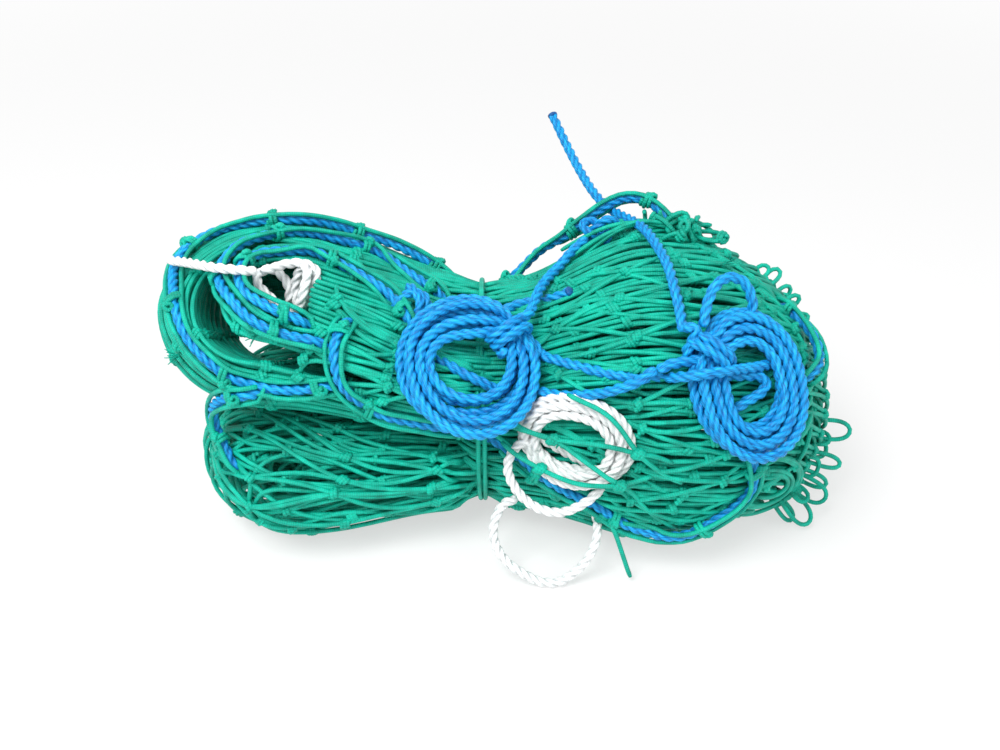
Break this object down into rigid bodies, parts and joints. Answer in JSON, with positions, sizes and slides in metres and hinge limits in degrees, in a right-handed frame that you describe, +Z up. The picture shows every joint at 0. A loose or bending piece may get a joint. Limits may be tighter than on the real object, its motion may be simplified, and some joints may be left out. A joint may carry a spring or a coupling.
{
  "type": "cargo climbing net",
  "caption": "Cargo climbing net of green knotted twine, folded into a tied bundle, with blue border ropes coiled into hanks and white tie ropes.",
  "frame": {"origin": "on the floor, under the centre of the folded bundle", "axes": "+X along the bundle, from the open fold to the end loops; -Y the front, where the hanks lie; +Z up"},
  "size_m": [0.3772, 0.2409, 0.1796],
  "materials": {
    "green_twine": "satin",
    "blue_rope": "satin",
    "white_rope": "satin"
  },
  "bodies": {
    "root": {"border_hitch": "blue_rope", "border_rope_end": "blue_rope", "border_rope_high": "blue_rope", "border_rope_low": "blue_rope", "border_rope_right": "blue_rope", "fold_rope_inner": "blue_rope", "fold_rope_outer": "blue_rope", "left_lead": "blue_rope", "left_tail": "blue_rope", "link_rope_high": "blue_rope", "link_rope_low": "blue_rope", "net_end_loops": "green_twine", "net_flap": "green_twine", "net_high_left_turn": "green_twine", "net_high_right_fold": "green_twine", "net_inner_turn": "green_twine", "net_low_left_fold": "green_twine", "net_low_right_fold": "green_twine", "net_top_bunch": "green_twine", "net_waist": "green_twine", "right_tail": "blue_rope", "twine_end": "green_twine", "waist_tie": "green_twine", "white_coil": "white_rope", "white_end": "white_rope", "white_hank": "white_rope", "white_lead": "white_rope", "white_tail": "white_rope"},
    "left_hank": {"left_hank_coil": "blue_rope", "left_hank_wrap": "blue_rope"},
    "right_hank": {"right_hank_coil": "blue_rope", "right_hank_wrap": "blue_rope", "right_hank_ear": "blue_rope"}
  },
  "joints": [
    {"name": "left_hank_lift", "type": "hinge", "parent": "root", "child": "left_hank", "pos_m": [0.00864, -0.03185, 0.13066], "axis": [-0.6619, 0.5018, 0.5569], "range_deg": [0, 85]},
    {"name": "right_hank_lift", "type": "hinge", "parent": "root", "child": "right_hank", "pos_m": [0.09586, -0.08014, 0.118], "axis": [0.2398, -0.5376, -0.8084], "range_deg": [0, 85]}
  ]
}
